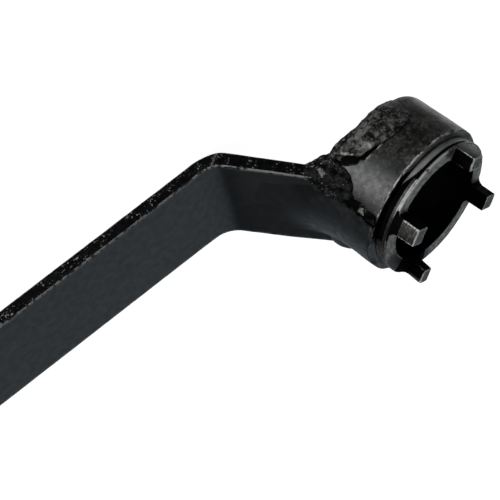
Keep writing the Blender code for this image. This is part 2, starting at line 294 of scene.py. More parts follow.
def piece(obj, node, material):
    """Makes obj a finished piece that stands for one CAD node."""
    if "flow" not in obj.data.attributes:
        paint(obj, flow=coords(obj))
    obj.data.transform(TOOL)
    obj.data.materials.clear()
    obj.data.materials.append(material)
    obj.data.shade_smooth()
    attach(obj, "root")
    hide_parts(node)


def cover(obj, places, material):
    """Gives this material to the faces whose corners are all in these places."""
    obj.data.materials.append(material)
    faces = obj.data.polygons
    corners = read(obj.data.loops, "vertex_index", kind=np.int32)
    starts = read(faces, "loop_start", kind=np.int32)
    inside = np.minimum.reduceat(places[corners].astype(np.int32), starts)
    now = read(faces, "material_index", kind=np.int32)
    faces.foreach_set("material_index", np.where(
        inside, len(obj.data.materials) - 1, now).astype(np.int32))


def resample(profile, spacing=None, pieces=None):
    """Points along a closed profile, its own corners kept: at this spacing, or this many a side."""
    out = []
    for (r0, z0), (r1, z1) in zip(profile, profile[1:] + profile[:1]):
        count = pieces or max(1, round(math.hypot(r1 - r0, z1 - z0) / spacing))
        out += [(r0 + (r1 - r0) * i / count, z0 + (z1 - z0) * i / count) for i in range(count)]
    return out


def turned(name, profile, steps):
    r, z = np.array(profile).T
    a = np.linspace(0, math.tau, steps, endpoint=False)[:, None]
    points = np.stack((r * np.cos(a), r * np.sin(a), z + 0 * a), axis=2).reshape(-1, 3)
    obj = build(name, points, grid_faces(steps, len(profile), closed_rows=True))
    outward(obj)
    return obj


def arc(cx, cy, radius, start, end, steps):
    a = np.radians(np.linspace(start, end, steps + 1))
    return [(cx + radius * math.cos(t), cy + radius * math.sin(t)) for t in a]


def around(points):
    """Degrees round the socket's axis, 0 to 360."""
    return np.degrees(np.arctan2(points[:, 1], points[:, 0])) % 360


# ---- materials -------------------------------------------
class Look:
    """One Principled material and a short way to wire procedural nodes into it."""

    def __init__(self, name, specular=0.5):
        self.mat = bpy.data.materials.new(name)
        self.mat.use_nodes = True
        self.tree = self.mat.node_tree
        self.shader = self.tree.nodes["Principled BSDF"]
        self.shader.inputs["Specular IOR Level"].default_value = specular
        self.place = self.node("Attribute", attribute_name="flow").outputs["Vector"]

    def feed(self, node, inputs):
        """Gives a node's sockets their links, numbers or colours."""
        for key, value in inputs.items():
            socket = node.inputs[key]
            if isinstance(value, bpy.types.NodeSocket):
                self.tree.links.new(value, socket)
            elif isinstance(value, (int, float)) or len(value) == len(socket.default_value):
                socket.default_value = value
            else:
                socket.default_value = (*value, 1.0)

    def node(self, kind, inputs=None, **settings):
        made = self.tree.nodes.new("ShaderNode" + kind)
        for key, value in settings.items():
            setattr(made, key, value)
        self.feed(made, inputs or {})
        return made

    def noise(self, size, detail, stretch=None, twist=0.0, grain=0.5):
        place = self.place
        if stretch:
            scales = [1 / s for s in stretch]
            place = self.node("Mapping", {"Vector": place, "Scale": scales}).outputs["Vector"]
        return self.node("TexNoise", {"Vector": place, "Scale": 1 / size, "Detail": detail,
                                      "Roughness": grain, "Distortion": twist}).outputs["Fac"]

    def attribute(self, name):
        return self.node("Attribute", attribute_name=name).outputs["Fac"]

    def maths(self, operation, a, b, clamp=False):
        return self.node("Math", {0: a, 1: b}, operation=operation, use_clamp=clamp).outputs[0]

    def between(self, value, low, high, least=0.0, most=1.0):
        return self.node("MapRange", {"Value": value, "From Min": low, "From Max": high,
                                      "To Min": least, "To Max": most},
                         interpolation_type="SMOOTHSTEP").outputs["Result"]

    def clouds(self, size, detail, low, high, least=0.0, most=1.0, **how):
        """Patches of about this size: least where the noise is below low, most above high."""
        return self.between(self.noise(size, detail, **how), low, high, least, most)

    def cloudy(self, a, b, *clouds, **how):
        """One colour with clouds of another."""
        return self.mix(self.clouds(*clouds, **how), a, b)

    def where(self, name, share):
        """This share of the mesh's stored number."""
        return self.maths("MULTIPLY", self.attribute(name), share)

    def mix(self, share, a, b):
        # a Mix node has sockets for every data type: 6, 7 and 2 are its colours'
        return self.node("Mix", {"Factor": share, 6: a, 7: b}, data_type="RGBA").outputs[2]

    def layers(self, colour, *coats):
        """A colour under these coats, each a share or a stored number's name, and a colour."""
        for share, coat in coats:
            share = self.attribute(share) if isinstance(share, str) else share
            colour = self.mix(share, colour, coat)
        return colour

    def bump(self, height, distance, strength):
        return self.node("Bump", {"Strength": strength, "Distance": distance,
                                  "Height": height}).outputs["Normal"]

    def finish(self, colour, roughness, normal=None, metallic=None):
        inputs = {"Base Color": colour, "Roughness": roughness, "Normal": normal,
                  "Metallic": metallic}
        self.feed(self.shader, {k: v for k, v in inputs.items() if v is not None})
        return self.mat


def chips(look, size, low, high):
    """Where the paint has rubbed off edges that stand out."""
    return look.where("wear", look.clouds(size, 3, low, high))


def black_face(look):
    """The bar's satin black, a little blue, cloudy and lightly scratched, with painted shade
    darkening the bend and a lighter grey past it.
    """
    return look.layers(
        look.cloudy((0.0075, 0.0095, 0.0115), (0.013, 0.0155, 0.0175), 0.024, 3, 0.35, 0.65),
        (look.clouds(0.0045, 4, 0.48, 0.75, 0, 0.6, stretch=(2, 1, 1)), (0.023, 0.026, 0.028)),
        # painted shade in the bend, then the lighter grey past it
        ("bend", (0.002, 0.004, 0.009)), ("haze", (0.026, 0.029, 0.031)),
        (look.clouds(0.0012, 2, 0.7, 0.76, 0, 0.5, stretch=(9, 1, 1)), (0.06, 0.062, 0.062)))


def satin(look, colour):
    """Finishes a look with the smooth paint's sheen and fine grain."""
    grain = look.bump(look.noise(0.0008, 3), 0.00003, 0.5)
    return look.finish(colour, look.clouds(0.003, 3, 0.3, 0.7, 0.34, 0.46), grain)


def bar_paint():
    look = Look("bar_black_paint")
    worn = chips(look, 0.0022, 0.4, 0.52)
    return satin(look, look.mix(worn, black_face(look), (0.36, 0.36, 0.35)))


def black_scale():
    """Matt black crust with bright specks, on cut edges and in the welds' hollows."""
    look = Look("black_scale", specular=0.1)
    glaze = look.where("glaze", look.clouds(0.0026, 5, 0.52, 0.6, 0, 0.7, grain=0.7))
    specks = look.maths("MULTIPLY", look.clouds(0.001, 3, 0.585, 0.65, grain=0.7),
                        look.clouds(0.006, 2, 0.42, 0.6))
    colour = look.layers(
        look.cloudy((0.0008, 0.0008, 0.001), (0.005, 0.0052, 0.0052), 0.003, 3, 0.4, 0.7),
        (glaze, (0.03, 0.033, 0.034)), (specks, (0.4, 0.4, 0.385)),
        ("scribe", (0.16, 0.16, 0.15)), (chips(look, 0.0018, 0.36, 0.5), (0.55, 0.55, 0.53)))
    grain = look.bump(look.noise(0.0009, 3), 0.00006, 0.6)
    return look.finish(colour, look.clouds(0.002, 3, 0.3, 0.7, 0.55, 0.75), grain)


def collar_paint():
    """Worn black paint, bluer beside the handle, with weld scale, soot, painted shade and grime on
    the front face, and rubbed edges.
    """
    look = Look("collar_worn_paint")
    broad = look.clouds(0.008, 4, 0.3, 0.7)
    blue = look.mix(broad, (0.008, 0.0105, 0.0125), (0.015, 0.0175, 0.0195))
    smudge = look.layers(
        look.cloudy((0.0012, 0.0011, 0.001), (0.105, 0.098, 0.08), 0.006, 8, 0.46, 0.6,
                    twist=0.5, grain=0.78),
        (look.clouds(0.01, 4, 0.42, 0.6, 0, 0.65, grain=0.6), (0.005, 0.0048, 0.0043)))
    rubbed = look.cloudy((0.1, 0.1, 0.1), (0.3, 0.3, 0.29), 0.002, 4, 0.35, 0.65,
                         stretch=(4, 1, 1))
    worn = look.where("edge", look.clouds(0.0013, 3, 0.46, 0.56, stretch=(2.5, 1, 1)))
    # the dark coat is soot, and painted shade with grime on the front face
    colour = look.layers(
        look.mix(broad, (0.01, 0.0115, 0.012), (0.024, 0.026, 0.026)),
        (look.clouds(0.0009, 3, 0.6, 0.7, 0, 0.7, grain=0.6), (0.18, 0.18, 0.18)),
        ("painted", blue), ("scale", smudge), ("rubbed", rubbed),
        (chips(look, 0.0016, 0.38, 0.52), (0.42, 0.41, 0.39)),
        (worn, (0.8, 0.79, 0.75)), ("dark", (0.0012, 0.0012, 0.0013)))
    roughness = look.maths("ADD", look.clouds(0.002, 4, 0.3, 0.7, 0.28, 0.46),
                           look.where("scale", 0.2))
    return look.finish(colour, roughness, look.bump(look.noise(0.0007, 3), 0.00003, 0.6))


def claw_steel():
    """Blackened steel, worn back to bare metal on its turned faces and edges, with painted
    highlight lines along the edges.
    """
    look = Look("claw_blackened_steel")
    bright = look.cloudy((0.17, 0.155, 0.145), (0.44, 0.405, 0.375), 0.0016, 4, 0.35, 0.65)
    pale = look.cloudy((0.14, 0.14, 0.14), (0.46, 0.46, 0.45), 0.002, 4, 0.35, 0.65,
                       stretch=(4, 1, 1))
    tool_marks = look.noise(0.00042, 2, stretch=(8, 8, 1))
    streaks = look.where("streaked", look.between(tool_marks, 0.5, 0.6))
    bare = look.maths("MAXIMUM", look.attribute("bare"), look.maths("MULTIPLY", streaks, 0.6))
    worn = look.maths("MAXIMUM", bare, chips(look, 0.0018, 0.3, 0.44))
    # painted highlights along the worn edges
    edge_highlight = look.where("edge", look.clouds(0.0015, 3, 0.33, 0.45, stretch=(2, 2, 1)))
    colour = look.layers(
        look.cloudy((0.0022, 0.0022, 0.0024), (0.008, 0.008, 0.0085), 0.005, 4, 0.3, 0.7),
        (worn, bright), ("pale", pale), (edge_highlight, (0.95, 0.95, 0.93)))
    # the painted highlight lines aren't metallic: they would mirror the dark room
    metal = look.maths("MULTIPLY", worn, look.maths("SUBTRACT", 0.85, edge_highlight, clamp=True))
    return look.finish(colour, look.clouds(0.0015, 3, 0.3, 0.7, 0.36, 0.5),
                       look.bump(tool_marks, 0.00005, 0.5), metal)


def shade_and_soot_black():
    """Matt black: painted shade in hollows that hold no light, and soot, with painted highlight
    lines on the claws' corners.
    """
    look = Look("painted_shade_and_soot_black", specular=0.05)
    edge_highlight = look.where("arris", look.clouds(0.002, 3, 0.36, 0.52))
    colour = look.layers(
        look.cloudy((0.0006, 0.0006, 0.0007), (0.0022, 0.0021, 0.0019), 0.004, 4, 0.4, 0.7),
        (edge_highlight, (0.75, 0.75, 0.73)))
    return look.finish(colour, look.clouds(0.002, 3, 0.3, 0.7, 0.65, 0.85))


def rough_weld():
    """Crusted weld metal: black and grey mottle, some rust, painted glints and torn bright spots.
    """
    look = Look("rough_weld", specular=0.38)
    burnt = look.where("burnt", look.clouds(0.002, 4, 0.38, 0.54, grain=0.65))
    torn = look.where("torn", look.clouds(0.0012, 4, 0.34, 0.6, grain=0.7))
    colour = look.layers(
        look.cloudy((0.0012, 0.0011, 0.001), (0.185, 0.18, 0.158), 0.0046, 8, 0.48, 0.57,
                    twist=0.3, grain=0.8),
        (look.clouds(0.005, 5, 0.52, 0.64, 0, 0.75, grain=0.6), (0.034, 0.027, 0.015)),
        (burnt, (0.0016, 0.0016, 0.0017)),
        # painted glints
        (look.clouds(0.0013, 4, 0.58, 0.66, 0, 0.8, grain=0.65), (0.3, 0.3, 0.28)),
        (torn, (0.55, 0.55, 0.53)), (chips(look, 0.0016, 0.5, 0.62), (0.24, 0.235, 0.22)))
    grain = look.bump(look.noise(0.0014, 5, grain=0.65), 0.00022, 0.9)
    return look.finish(colour, look.clouds(0.0015, 3, 0.3, 0.7, 0.36, 0.6), grain)


def smooth_weld():
    look = Look("painted_weld")
    return satin(look, look.mix(look.attribute("pale"), black_face(look), (0.06, 0.066, 0.068)))


BAR_LOOK, COLLAR_LOOK, CLAW_LOOK = bar_paint(), collar_paint(), claw_steel()
ROUGH_LOOK, SMOOTH_LOOK = rough_weld(), smooth_weld()
SHADE_AND_SOOT_LOOK, SCALE_LOOK = shade_and_soot_black(), black_scale()


# ---- handle bar ------------------------------------------
BAR_SPACING, BAR_CORNER_R = 0.00056, 0.0005
CRANK_RUN = 0.068       # made longer than needed, then the socket is cut out of it
# where the bend has spread the bar most, and where the top weld has, up the crank
SPREAD_AT, BULGE_AT = 0.003, 0.024


def bar_rows():
    """Front-face points, directions and half widths from the free end to the socket."""
    d1, d2 = (np.array([math.cos(a), math.sin(a)]) for a in (LONG_SLOPE, CRANK_SLOPE))
    corner = np.array([BEND_X, BEND_Z])
    tangent = BEND_INNER_R * math.tan((CRANK_SLOPE - LONG_SLOPE) / 2)
    centre = corner - d1 * tangent + BEND_INNER_R * np.array([-d1[1], d1[0]])
    long_run = OVERALL_LENGTH - COLLAR_R * d1[0] + float(corner @ d1)
    half = BAR_WIDTH / 2
    rows = []
    for a in np.linspace(0, math.pi / 2, 48):
        rows.append((corner - d1 * (long_run - END_ROUND_R * (1 - math.cos(a))), d1,
                     half - END_ROUND_R * (1 - math.sin(a))))
    for back in np.arange(long_run - END_ROUND_R - BAR_SPACING, tangent, -BAR_SPACING):
        rows.append((corner - d1 * back, d1, half))
    for a in np.linspace(LONG_SLOPE, CRANK_SLOPE, 30):
        d = np.array([math.cos(a), math.sin(a)])
        rows.append((centre + BEND_INNER_R * np.array([d[1], -d[0]]), d, half))
    for ahead in np.arange(tangent + BAR_SPACING, CRANK_RUN, BAR_SPACING):
        rows.append((corner + d2 * ahead, d2, half + 0.0006 * bell(ahead, BULGE_AT, 0.01)))
    return rows


def bar_ring():
    """One closed section as (share of the half width, extra width, depth, on the rim)."""
    edge, ring = BAR_CORNER_R, []
    across = np.linspace(-1, 1, 46)
    down = np.linspace(edge, BAR_THICK - edge, 13)

    def corner(side, face, turns):
        for k in turns:
            a = math.radians(22.5 * k)
            depth = abs(face - edge * (1 - math.cos(a)))
            ring.append((side, side * edge * math.sin(a), depth, 0.5 * math.sin(a)))

    for side, near, far in ((1, 0.0, BAR_THICK), (-1, BAR_THICK, 0.0)):
        ring += [(side * c, 0.0, near, 0.0) for c in across]
        corner(side, near, (1, 2, 3))
        ring += [(side, side * edge, abs(near - d), 1.0) for d in down]
        corner(side, far, (3, 2, 1))
    return np.array(ring)


def make_bar():
    rows, ring = bar_rows(), bar_ring()
    point, along, half = (np.array([r[k] for r in rows]) for k in range(3))
    back = np.stack((along[:, 1], -along[:, 0]), axis=1)
    share, extra, depth, on_rim = ring.T
    y = (half[:, None] - BAR_CORNER_R) * share + extra
    xz = point[:, None, :] + back[:, None, :] * depth[None, :, None]
    obj = loft("handle_bar_detail", np.stack((xz[:, :, 0], y, xz[:, :, 1]), axis=2))
    rim, deep = np.tile(on_rim, len(rows)), np.tile(depth, len(rows))
    # bending has spread the bar sideways, most just past the bend
    p = coords(obj)
    sine, cosine = math.sin(CRANK_SLOPE), math.cos(CRANK_SLOPE)
    crank = (p[:, 0] - BEND_X) * cosine + (p[:, 2] - BEND_Z) * sine
    spread = bell(crank, SPREAD_AT, np.where(crank < SPREAD_AT, 0.0066, 0.016))
    most = np.where(p[:, 1] > 0, 0.0014, 0.0006)
    p[:, 1] += most * spread * p[:, 1] / (BAR_WIDTH / 2)
    swell = 0.0004 * spread * (deep / BAR_THICK)
    p[:, 0] += swell * sine
    p[:, 2] -= swell * cosine
    set_coords(obj, p)
    # flame-cut edges: drag lines through the thickness, pits and a wandering corner
    run = np.repeat(np.arange(len(rows)), len(ring)) * BAR_SPACING
    flat = np.stack((run, p[:, 1], deep), axis=1)
    lines = noise(flat * (1, 1, 0.15), 0.0009, 1)
    pits = step(noise(flat, 0.0012, 2), 0.4, 0.75)
    wander = rough(flat * (1, 1, 0.35), 0.0045, 3, 5)
    cut_edge = 0.00002 * lines - 0.00007 * pits + 0.00018 * wander - 0.00014
    face = 0.00004 * rough(flat, 0.014, 3, 9) - 0.00005
    push(obj, p, rim * cut_edge + (1 - rim) * face)
    # painted shade darkens the bend's lower half; past it the upper half is a lighter grey; a
    # scribed mark
    bend = bell(crank, 0.002, 0.015) * step(-p[:, 1], -0.014, 0.02) * (1 - rim)
    haze = step(crank, 0.004, 0.016) * step(p[:, 1], -0.006, 0.012) * (1 - rim)
    scribe = bell(crank - 0.12 * flat[:, 2], 0.0008, 0.0003) * rim * step(p[:, 1], 0, 0.01)
    paint(obj, flow=flat, rim=rim, scribe=scribe,
          bend=0.9 * bend * (0.8 + 0.4 * noise(flat, 0.006, 21)),
          haze=0.8 * haze * (0.8 + 0.4 * noise(flat, 0.009, 23)))
    hole = drum("hole", HANG_HOLE_R, -0.02, 0.02, 96)
    d = Vector((math.cos(LONG_SLOPE), 0, math.sin(LONG_SLOPE)))
    up = Vector((-math.sin(LONG_SLOPE), 0, math.cos(LONG_SLOPE)))
    end = Vector((rows[0][0][0], 0, rows[0][0][1]))
    hole.location = end + d * HANG_HOLE_INSET - up * BAR_THICK / 2
    hole.rotation_euler = (0, -LONG_SLOPE, 0)
    seat = drum("seat", COLLAR_R - 0.001, REAR_Z + 0.0008, 0.06)
    cut(obj, hole, seat, drum("bore", BORE_R + 0.0006, -0.1, 0.1))
    mark_wear(obj, 3, 1.5)
    paint(obj, wear=painted(obj, "wear") * (1 - step(painted(obj, "rim"), 0.6, 0.95)))
    piece(obj, "handle_bar", BAR_LOOK)
    cover(obj, painted(obj, "rim") > 0.75, SCALE_LOOK)


# ---- collar ----------------------------------------------
# the rim weld's front lip, as (angle, height)
RIM_EDGE = ((60.0, -0.0134), (70.0, -0.0131), (82.0, -0.0124), (88.0, -0.0126),
            (95.0, -0.0136), (102.0, -0.0153), (109.0, -0.0165), (112.5, -0.0173),
            (114.5, -0.0196), (117.0, -0.0222), (120.5, -0.025), (123.0, -0.0268))
# the pit under that weld's end
PIT_ANGLE, PIT_Z = 119.9, -0.0212
# the seam weld's angle at the collar's front edge, and its lean in degrees a metre
SEAM_ANGLE, SEAM_LEAN = 147.0, 350


def collar_profile():
    """The collar's closed section: bore, rear edge, outer wall and front edge."""
    r, q, e = COLLAR_R, COLLAR_REAR_ROUND, 0.0005
    along = 0.00032
    profile = [(COLLAR_BORE_R, REAR_Z * k / 12) for k in range(13)]
    profile += [(x, REAR_Z) for x in np.linspace(COLLAR_BORE_R + 0.0008, r - q - 0.0001, 3)]
    profile += arc(r - q, REAR_Z + q, q, -90, 0, 14)
    profile += [(r, z) for z in np.arange(REAR_Z + q + along, -e, along)]
    profile += arc(r - e, -e, e, 0, 90, 4)
    profile += [(x, 0.0) for x in np.linspace(r - e - 0.0003, COLLAR_BORE_R + 0.0005, 9)]
    return profile


def rim_pit(a, z, flow):
    """How deep each place is in the pit under the rim weld's end, which is painted black as the
    lip's shadow, and how far away from it.
    """
    # a lens that leans like the weld's own end
    u, v = np.radians(a - PIT_ANGLE) * COLLAR_R, z - PIT_Z
    long_way, short_way = 0.52 * u - 0.85 * v, 0.85 * u + 0.52 * v
    lens = 0.0017 * np.sqrt(np.clip(1 - (long_way / 0.005) ** 2, 0, 1))
    pit = step(lens - np.abs(short_way) + 0.00025 * noise(flow, 0.0011, 4), -0.0002, 0.0003)
    pit *= np.abs(long_way) < 0.0052
    # it narrows to a black strip of painted shadow that follows the weld's lip
    lip_z = np.interp(a, *zip(*RIM_EDGE))
    gap = np.interp(a, (96, 102, 109, 114, 119), (0.0001, 0.0008, 0.0015, 0.0022, 0.001))
    gap = gap - (z - lip_z) + 0.00035 * noise(flow, 0.0013, 6)
    along_lip = (a > 97) & (a < 120) & (z > lip_z - 0.0012)
    pit = np.maximum(pit, step(gap, 0.0, 0.0003) * along_lip)
    return pit, np.hypot(long_way / 0.0075, short_way / 0.004)


def make_collar():
    obj = turned("socket_collar_detail", collar_profile(), 590)
    p = coords(obj)
    a, z, radius, flow = around(p), p[:, 2].copy(), np.hypot(p[:, 0], p[:, 1]), unrolled(p)
    wall = step(radius, COLLAR_R - 0.003, COLLAR_R - 0.001)
    # scale and spatter beside the rim weld, thinning out towards the bright side
    lean = a + z * 900 + 7 * rough(flow, 0.006, 3, 14)
    scale = step(a, 38, 58) * (1 - step(lean, 88, 104)) * wall
    move = 0.00004 * rough(p, 0.007, 3, 3) - 0.00008
    move += scale * 0.0001 * rough(p, 0.0022, 3, 8)
    move += step(z, -0.0016, -0.0003) * wall * 0.00016 * (rough(p, 0.0018, 3, 12) - 0.6)
    move += 0.0004 * bell(a, 208, 14) * step(z, -0.012, -0.004)
    move += 0.00045 * bell(a, 44, 16) * step(-z, -0.002, 0.01)
    move -= 0.00012 * step(noise(flow, 0.0026, 31), 0.72, 0.92) * window(a, 95, 110, 140, 150)
    # past the handle the wall runs over the front edge into the neck with no step
    ease_in, ease_wide = 0.0016, 0.0024
    over = np.clip((radius - COLLAR_R + ease_wide) / ease_wide + z / ease_in, 0, None)
    over = over * window(a, 160, 176, 186, 200) * (radius > NECK_R)
    over = over / (1 / ease_wide**2 + 1 / ease_in**2)
    p[:, :2] *= (1 - over / ease_wide / radius)[:, None]
    p[:, 2] -= over / ease_in
    z = p[:, 2]
    pit, away = rim_pit(a, z, flow)
    push(obj, p, move * wall - 0.0006 * pit * wall)
    edge = step(z, -0.0011, -0.0005) * (radius > COLLAR_R - 0.001)
    edge = edge * window(a, 30, 50, 136, 146)
    paint(obj, flow=flow, scale=scale, painted=step(a, 138, 150), edge=edge)
    # soot beside the seam weld; on the front face, except where the neck has rubbed it, painted
    # shade with grime
    soot = bell(a - z * SEAM_LEAN, SEAM_ANGLE, 6.0, 4) * step(-z, -0.001, 0.001)
    soot *= 1 - step(-z, 0.0145, 0.0165)
    soot = step(soot + 0.5 * rough(flow, 0.0016, 3, 26), 0.45, 0.75) * wall
    mouth = np.maximum(1 - wall, (z > -0.00001) * step(COLLAR_R - radius, 0.0002, 0.0006))
    mouth = mouth * step(z, -0.01, -0.001)
    shut = a + 3 * noise(flow, 0.003, 24) - 4000 * (radius - COLLAR_R + 0.0015)
    shut = step(shut, 99, 106) * (1 - step(a, 160, 172))
    paint(obj, dark=np.maximum(mouth * shut, soot),
          rubbed=0.9 * mouth * (1 - shut) * (1 - 0.75 * step(a, 150, 160)))
    mark_wear(obj, 3, 1.2)
    paint(obj, wear=painted(obj, "wear") * step(away, 0.7, 1.1) * (1 - step(a, 156, 166)))
    piece(obj, "socket_collar", COLLAR_LOOK)
    # matt black: painted shadow in the pit and under the rim weld's lip, painted shade with grime
    # on the front face, soot beside the seam
    cover(obj, (pit * wall > 0.3) | (mouth * shut > 0.5) | (soot > 0.7), SHADE_AND_SOOT_LOOK)


# ---- claw ring -------------------------------------------
# the fillet's radius on either side of each gap between the claws
ROOT_RADII = ((0.0012, 0.0026), (0.0026, 0.0026), (0.0026, 0.002), (0.0026, 0.0012))
RING_LAP = -0.002      # how far down the bore the ring's front part is made
SPLAYED_ANGLE = CLAW_FIRST_ANGLE + 180


def gap_cutter(index):
    """The milled gap after this claw: two flanks, a flat floor and a fillet at each root."""
    high, next_low = CLAWS[index][1], -CLAWS[(index + 1) % 4][0]
    far, tall, hair = 0.045, 0.03, 1e-5
    bm = bmesh.new()
    # one flank runs along the claw's own centre line, the other along the next claw's
    bmesh.ops.create_cube(bm, size=1.0)
    bmesh.ops.scale(bm, vec=(far - next_low, far - high, tall), verts=bm.verts)
    bmesh.ops.translate(bm, vec=((far + next_low) / 2, (far + high) / 2, NOSE_Z + tall / 2),
                        verts=bm.verts)
    for axis, flank, radius in zip((1, 0), (high, next_low), ROOT_RADII[index]):
        edges = [e for e in bm.edges if max(v.co.z for v in e.verts) < NOSE_Z + hair
                 and max(v.co[axis] for v in e.verts) < flank + hair]
        bmesh.ops.bevel(bm, geom=edges, offset=radius, segments=10, profile=0.5, affect="EDGES")
    turn = Matrix.Rotation(math.radians(CLAW_FIRST_ANGLE + 90 * index), 3, "Z")
    bmesh.ops.rotate(bm, matrix=turn, cent=(0, 0, 0), verts=bm.verts)
    bmesh.ops.triangulate(bm, faces=bm.faces)
    return from_bmesh("gap_%d" % index, bm)


def ring_shape():
    """The claw ring's front part: turned, milled, softened, with one bent claw."""
    profile = [(BORE_R, CLAW_TOP_Z), (BORE_R, RING_LAP), (INSERT_R, RING_LAP),
               (INSERT_R, 0.0003), (NECK_R - 0.0002, 0.0003), (NECK_R, 0.0005),
               (NECK_R, GROOVE_Z[0]), (GROOVE_R, GROOVE_Z[0] + 0.0001),
               (GROOVE_R, GROOVE_Z[1]), (NOSE_R, GROOVE_Z[1] + 0.0001), (NOSE_R, CLAW_TOP_Z)]
    obj = turned("claw_ring_detail", resample(profile, 0.001), 360)
    cut(obj, *(gap_cutter(k) for k in range(4)))
    p = coords(obj)
    a = around(p)
    for k, claw in enumerate(CLAWS):
        beside = np.abs((a - CLAW_FIRST_ANGLE - 90 * k + 180) % 360 - 180)
        mine = (beside < 18) & (p[:, 2] - NOSE_Z > 0.0024)
        p[mine, 2] = np.minimum(p[mine, 2], claw[2])
    set_coords(obj, p)
    voxel(obj, 0.00025)
    smoothed(obj, 3)
    tips = step(coords(obj)[:, 2], NOSE_Z + 0.0045, NOSE_Z + 0.007)
    smoothed(obj, 10, 0.5 * tips[:, None])
    # the claw below the handle is splayed outwards, and the nose swells in front of it
    p = coords(obj)
    a, above = around(p), np.clip(p[:, 2] - NOSE_Z, 0, 1)
    splay = math.radians(SPLAYED_ANGLE)
    lean = 0.115 * above * bell(a, SPLAYED_ANGLE, 12, 4)
    p[:, :2] *= (1 + 0.022 * bell(a, 224, 17, 4) * step(p[:, 2], 0.003, 0.005))[:, None]
    p += lean[:, None] * np.array([math.cos(splay), math.sin(splay), 0])
    set_coords(obj, p)
    return obj, p


def make_claw_ring():
    obj, p = ring_shape()
    n, a, z, flow = normals(obj), around(p), p[:, 2], unrolled(p)
    radius = flow[:, 1]
    move = 0.00006 * rough(p, 0.0016, 3, 4) + 0.00005 * rough(p, 0.005, 2, 6) - 0.00007
    move += 0.00003 * noise(flow * (0.1, 0.1, 1), 0.0005, 9) * (z > GROOVE_Z[1])
    push(obj, p, move)
    facing_out = (n[:, 0] * p[:, 0] + n[:, 1] * p[:, 1]) / radius
    facing_up = step(n[:, 2], 0.75, 0.95)
    patchy = rough(flow, 0.0022, 3, 40)
    # bare turned faces, darker with painted shade round the roots of the claws on the handle's side
    on_nose = z < NOSE_Z + 0.0012
    bare = facing_up * step(radius, BORE_R + 0.0002, BORE_R + 0.0008)
    bare *= 0.75 + 0.25 * step(patchy, -0.5, 0.1)
    bare *= np.where(on_nose, 1.0, 0.45)
    root = step(a + 300 * (radius - BORE_R) + 3 * patchy, 177, 190) * (1 - step(a, 250, 262))
    bare *= 1 - 0.95 * root * on_nose
    # the neck is rubbed bare at the top and tapers into black towards the handle, painted shade
    # with grime
    clean = 0.0029 * (1 - step(a, 92, 119))
    neck = window(a, 20, 40, 114, 119) * (z < clean) * step(facing_out, 0.5, 0.8)
    lower = window(a, 166, 190, 212, 220) * (z < NOSE_Z - 0.0002)
    outer = step(facing_out, 0.6, 0.9) * step(z, NOSE_Z + 0.0005, NOSE_Z + 0.0085)
    # painted highlights: light lines on the nose's two worn outer edges and where the bore's edge
    # curls up
    rim = bell(radius, NOSE_R - 0.0002, 0.0006) * bell(z, NOSE_Z, 0.0005)
    rim += 0.7 * bell(z, GROOVE_Z[1], 0.0002) * (radius > NOSE_R - 0.0004)
    rim *= 1.6 * window(a, 60, 75, 128, 140)
    curl = bell(radius, BORE_R + 0.0002, 0.0003) * bell(z, NOSE_Z, 0.0004)
    curl *= 0.6 * window(a, 186, 194, 214, 222)
    mark_wear(obj, 4, 1.6)
    # the claws' worn corners get painted highlight lines too
    corners = step(painted(obj, "wear"), 0.26, 0.6) * (z > NOSE_Z + 0.0035)
    paint(obj, flow=flow, bare=bare, streaked=0.58 * outer,
          arris=corners * (radius > BORE_R + 0.0008),
          pale=np.maximum(0.9 * neck, 0.07 * lower * step(facing_out, 0.2, 0.6)),
          edge=np.maximum(np.clip(np.maximum(rim, curl), 0, 1), corners))
    # behind the front part the insert is a plain sleeve down the collar's bore, matt black as
    # painted shade
    rear = REAR_Z + 0.0006
    sleeve = turned("claw_ring_sleeve", resample([
        (BORE_R + 0.00003, RING_LAP + 0.0005), (BORE_R + 0.00003, rear + 0.0006),
        (BORE_R + 0.0006, rear), (INSERT_R, rear), (INSERT_R, RING_LAP + 0.0005)], 0.002), 240)
    piece(obj, "claw_ring", CLAW_LOOK)
    piece(sleeve, "claw_ring", SHADE_AND_SOOT_LOOK)
    # painted shade: the bore, the claws' flanks, the deep side of the neck and the nose beside the
    # splayed claw are matt black
    bore = (radius < BORE_R + 0.0004) & (facing_out < 0)
    flanks = (facing_out < 0.5) & (facing_up < 0.4) & (z > NOSE_Z - 0.001)
    flanks &= (radius > BORE_R + 0.0002) & (radius < NOSE_R - 0.0003)
    groove_top = np.where(a < 103, GROOVE_Z[1] + 0.0004, GROOVE_Z[0] - 0.0005)
    gully = (z > clean) & (z < groove_top) & (a > 40) & (a < 162)
    shade = (z > GROOVE_Z[1]) & (z < NOSE_Z + 0.003) & (facing_out > 0.4)
    shade &= (a + 1200 * (z - NOSE_Z) + 3 * patchy > 129) & (a < 158)
    shade |= (a > 208) & (a < 250) & (z > GROOVE_Z[0]) & (z < NOSE_Z + 0.0012)
    cover(obj, bore | gully | shade, SHADE_AND_SOOT_LOOK)
    cover(obj, flanks, SHADE_AND_SOOT_LOOK)


# ---- welds -----------------------------------------------
def front_face_z(x):
    """The height of the crank's front face at this x."""
    return BEND_Z + math.tan(CRANK_SLOPE) * (x - BEND_X)


def lumps(name, balls, size, passes):
    """Overlapping ellipsoids (centre, sizes, long axis) fused into one surface."""
    bm = bmesh.new()
    for centre, sizes, axis in balls:
        made = bmesh.ops.create_icosphere(bm, subdivisions=4, radius=1.0)
        turn = Vector(axis).to_track_quat("Z", "Y").to_matrix().to_4x4()
        place = Matrix.Translation(centre) @ turn @ Matrix.Diagonal((*sizes, 1.0))
        bmesh.ops.transform(bm, matrix=place, verts=made["verts"])
    obj = from_bmesh(name, bm)
    voxel(obj, size)
    smoothed(obj, passes)
    return obj


